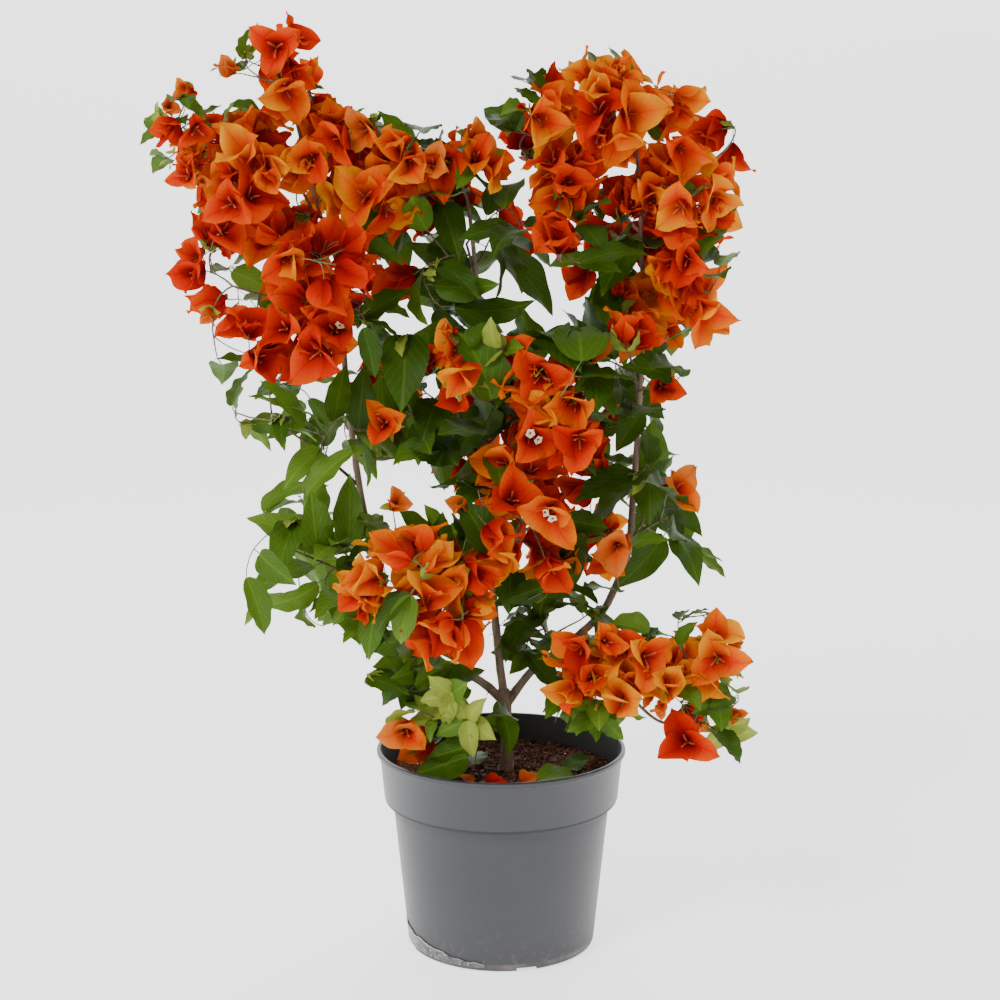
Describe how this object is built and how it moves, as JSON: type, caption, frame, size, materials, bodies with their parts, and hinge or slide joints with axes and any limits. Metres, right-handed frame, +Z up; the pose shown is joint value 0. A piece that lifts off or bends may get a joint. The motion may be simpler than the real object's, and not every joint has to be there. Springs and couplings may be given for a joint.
{
  "type": "potted bougainvillea bush",
  "caption": "Bougainvillea bush in orange bloom in a round grey nursery pot: a short trunk, boughs that climb side by side, and masses of pointed leaves and papery lobed blossoms.",
  "frame": {"origin": "middle of the pot's flat underside, on the surface that the pot stands on", "axes": "+Z up, the plant's broad face towards -Y, +X to the right as seen from that side"},
  "size_m": [0.579, 0.2491, 0.8719],
  "materials": {
    "pot": "thin satin grey moulded plastic, scuffed near its foot",
    "soil": "coarse damp red-brown peat with pale specks",
    "bark": "rough grey-brown bark with lengthwise ridges",
    "leaves": "glossy pointed green leaves",
    "orange_bloom": "papery veined orange bracts among green leaves",
    "amber_bloom": "papery veined amber bracts among green leaves",
    "scarlet_bloom": "papery veined red-orange bracts among green leaves",
    "salmon_bloom": "papery veined salmon bracts among green leaves"
  },
  "bodies": {
    "root": {"pot": "pot", "soil": "soil", "trunk": "bark", "left_bough_lower": "bark", "left_bough_upper": "bark", "left_arm": "bark", "left_top_arm": "bark", "centre_bough_lower": "bark", "centre_bough_upper": "bark", "right_bough_lower": "bark", "right_bough_upper": "bark", "right_arm": "bark", "low_right_shoot": "bark", "left_tip": "amber_bloom", "left_far": "orange_bloom", "left_middle": "orange_bloom", "left_upper": "orange_bloom", "left_low": "orange_bloom", "left_front": "scarlet_bloom", "centre_top": "salmon_bloom", "centre_upper": "leaves", "right_start": "orange_bloom", "right_top": "amber_bloom", "right_side": "orange_bloom", "right_drop": "orange_bloom", "right_heart": "salmon_bloom", "right_waist": "salmon_bloom", "middle_right": "scarlet_bloom", "middle_left": "orange_bloom", "left_waist": "orange_bloom", "left_leaves_high": "leaves", "left_leaves_low": "leaves", "centre_bloom": "scarlet_bloom", "front_bloom": "orange_bloom", "right_leaves": "leaves", "low_bloom_inner": "orange_bloom", "low_bloom_outer": "orange_bloom", "low_leaves_left": "leaves", "low_leaves_right": "leaves", "soil_shoots": "leaves"}
  },
  "joints": []
}
